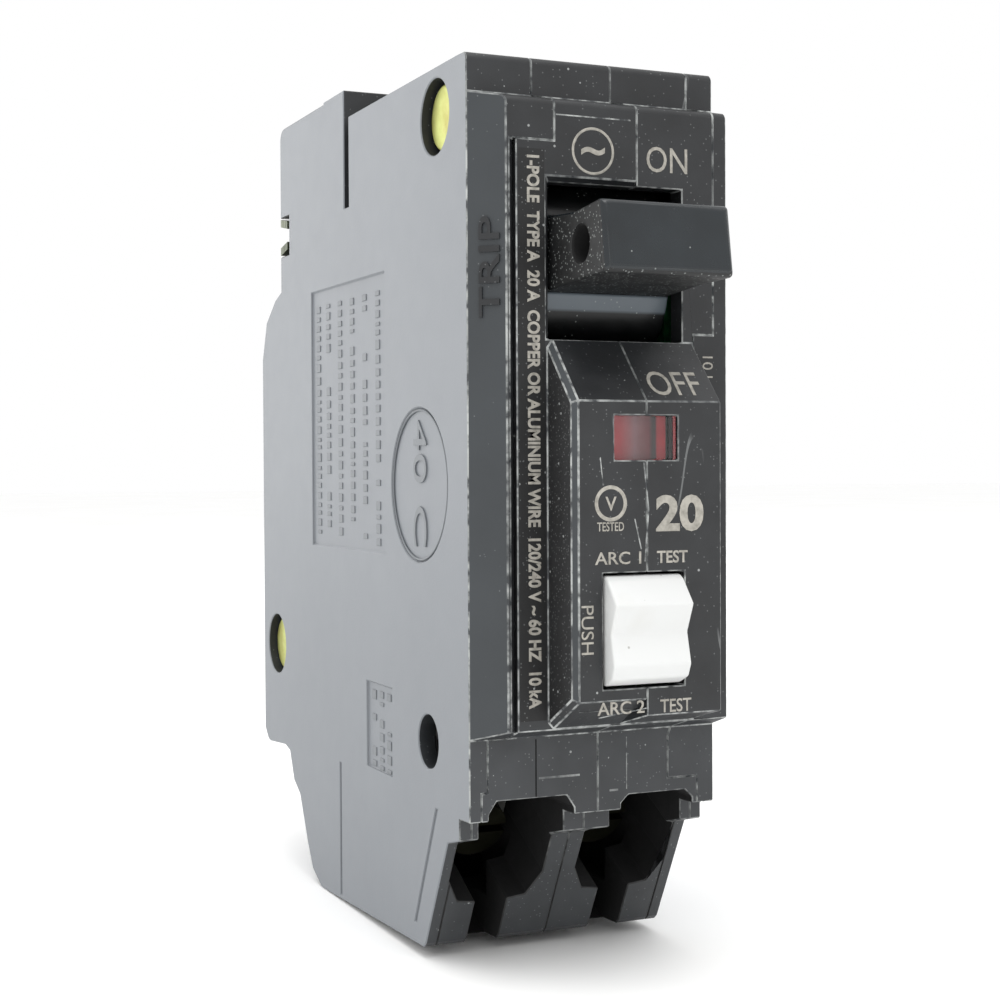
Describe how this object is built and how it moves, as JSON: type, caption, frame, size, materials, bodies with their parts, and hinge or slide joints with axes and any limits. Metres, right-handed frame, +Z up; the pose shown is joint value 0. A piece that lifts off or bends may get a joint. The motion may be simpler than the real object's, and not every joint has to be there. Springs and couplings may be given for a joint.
{
  "type": "arc-fault circuit breaker",
  "caption": "Single-pole plug-on arc-fault circuit breaker: black moulded housing, bar handle on a drum, trip window, white test rocker and wire terminals at the foot.",
  "frame": {"origin": "centre of the flat base at the wire-terminal end", "axes": "+Z up along the height, towards the ON end; the operating face looks along -Y; +X is the right-hand side seen from the front"},
  "size_m": [0.0254, 0.0783, 0.0878],
  "materials": {
    "case_plastic": "moulded black thermoset, dusty, with scuffed pale edges",
    "handle_plastic": "glossy black moulded plastic",
    "white_plastic": "satin white moulded plastic",
    "red_plastic": "bright red moulded flag",
    "clear_lens": "clear moulded window",
    "chromated_steel": "zinc plate with yellow chromate",
    "plain_steel": "bright ground steel",
    "plated_steel": "zinc-plated pressed steel",
    "spring_steel": "drawn spring wire",
    "copper": "bare rolled copper",
    "tinned_copper": "tin-plated copper",
    "silver_contact": "silver alloy contact",
    "bimetal_strip": "rolled bimetal",
    "coil_winding": "enamelled copper winding",
    "fibre": "vulcanised fibre",
    "board_laminate": "green solder mask on glass laminate",
    "chip_resin": "black moulding resin",
    "varistor_resin": "blue dipped resin",
    "can_sleeve": "shrink sleeve on aluminium can",
    "sensor_resin": "taped toroid"
  },
  "bodies": {
    "housing": {"left_cover": "case_plastic", "breaker_case": "case_plastic", "electronics_case": "case_plastic", "right_cover": "case_plastic", "rivets": "chromated_steel", "handle_pin": "plain_steel", "contact_arm_pin": "plain_steel", "fixed_contact": "silver_contact", "line_strap": "copper", "contact_arm_spring": "spring_steel", "line_jaw": "tinned_copper", "neutral_clip": "tinned_copper", "cradle_pin": "plain_steel", "bimetal": "bimetal_strip", "load_strap": "copper", "magnet_yoke": "plated_steel", "armature_pin": "plain_steel", "braid": "copper", "trip_coil": "coil_winding", "solenoid_frame": "plated_steel", "plunger_spring": "spring_steel", "arc_plates": "plated_steel", "arc_chute_walls": "fibre", "load_lug": "tinned_copper", "neutral_lug": "tinned_copper", "circuit_board": "board_laminate", "control_chips": "chip_resin", "varistor": "varistor_resin", "capacitors": "can_sleeve", "current_sensor": "sensor_resin", "neutral_strap": "copper", "rocker_pin": "plain_steel", "test_switches": "chip_resin", "switch_board": "board_laminate", "indicator_lens": "clear_lens"},
    "handle": {"handle": "handle_plastic"},
    "contact_arm": {"contact_arm": "copper", "moving_contact": "silver_contact"},
    "cradle": {"cradle": "plated_steel"},
    "trip_flag": {"trip_flag": "red_plastic"},
    "armature": {"armature": "plated_steel"},
    "solenoid_plunger": {"solenoid_plunger": "plain_steel"},
    "test_rocker": {"test_rocker": "white_plastic"},
    "load_clamp": {"load_pressure_plate": "plated_steel"},
    "load_screw": {"load_screw": "chromated_steel"},
    "neutral_clamp": {"neutral_pressure_plate": "plated_steel"},
    "neutral_screw": {"neutral_screw": "chromated_steel"}
  },
  "joints": [
    {"name": "handle_pivot", "type": "hinge", "parent": "housing", "child": "handle", "pos_m": [0, -0.0185, 0.0661], "axis": [-1, 0, 0], "range_deg": [-19, 14]},
    {"name": "contact_arm_pivot", "type": "hinge", "parent": "housing", "child": "contact_arm", "pos_m": [-0.0061, -0.008, 0.0595], "axis": [1, 0, 0], "range_deg": [-9.5, 7], "deforming": ["contact_arm_spring"]},
    {"name": "cradle_pivot", "type": "hinge", "parent": "housing", "child": "cradle", "pos_m": [-0.0035, -0.001, 0.078], "axis": [1, 0, 0], "range_deg": [0, 10]},
    {"name": "trip_flag_slide", "type": "slide", "parent": "housing", "child": "trip_flag", "axis": [0, 0, -1], "range_m": [0, 0.0055]},
    {"name": "armature_pivot", "type": "hinge", "parent": "housing", "child": "armature", "pos_m": [-0.0065, -0.0056, 0.0516], "axis": [1, 0, 0], "range_deg": [0, 1.6], "stiffness_Nm_per_rad": 0.02},
    {"name": "solenoid_slide", "type": "slide", "parent": "housing", "child": "solenoid_plunger", "axis": [0, 1, 0], "range_m": [0, 0.0017], "stiffness_N_per_m": 150},
    {"name": "test_rocker_pivot", "type": "hinge", "parent": "housing", "child": "test_rocker", "pos_m": [0.00102, -0.031, 0.0329], "axis": [1, 0, 0], "range_deg": [-3, 3], "stiffness_Nm_per_rad": 0.03},
    {"name": "load_clamp_slide", "type": "slide", "parent": "housing", "child": "load_clamp", "axis": [0, -0.8851, -0.4655], "range_m": [-0.0019, 0.0015]},
    {"name": "load_screw_turn", "type": "hinge", "parent": "load_clamp", "child": "load_screw", "pos_m": [-0.00675, -0.02037, 0.00911], "axis": [0, -0.8851, -0.4655], "continuous": true},
    {"name": "neutral_clamp_slide", "type": "slide", "parent": "housing", "child": "neutral_clamp", "axis": [0, -0.8851, -0.4655], "range_m": [-0.0019, 0.0015]},
    {"name": "neutral_screw_turn", "type": "hinge", "parent": "neutral_clamp", "child": "neutral_screw", "pos_m": [0.0065, -0.02037, 0.00911], "axis": [0, -0.8851, -0.4655], "continuous": true}
  ],
  "couplings": [
    {"joint": "contact_arm_pivot", "follows": "handle_pivot", "ratio": 0.5},
    {"joint": "trip_flag_slide", "follows": "cradle_pivot", "m_per_rad": 0.0315}
  ]
}
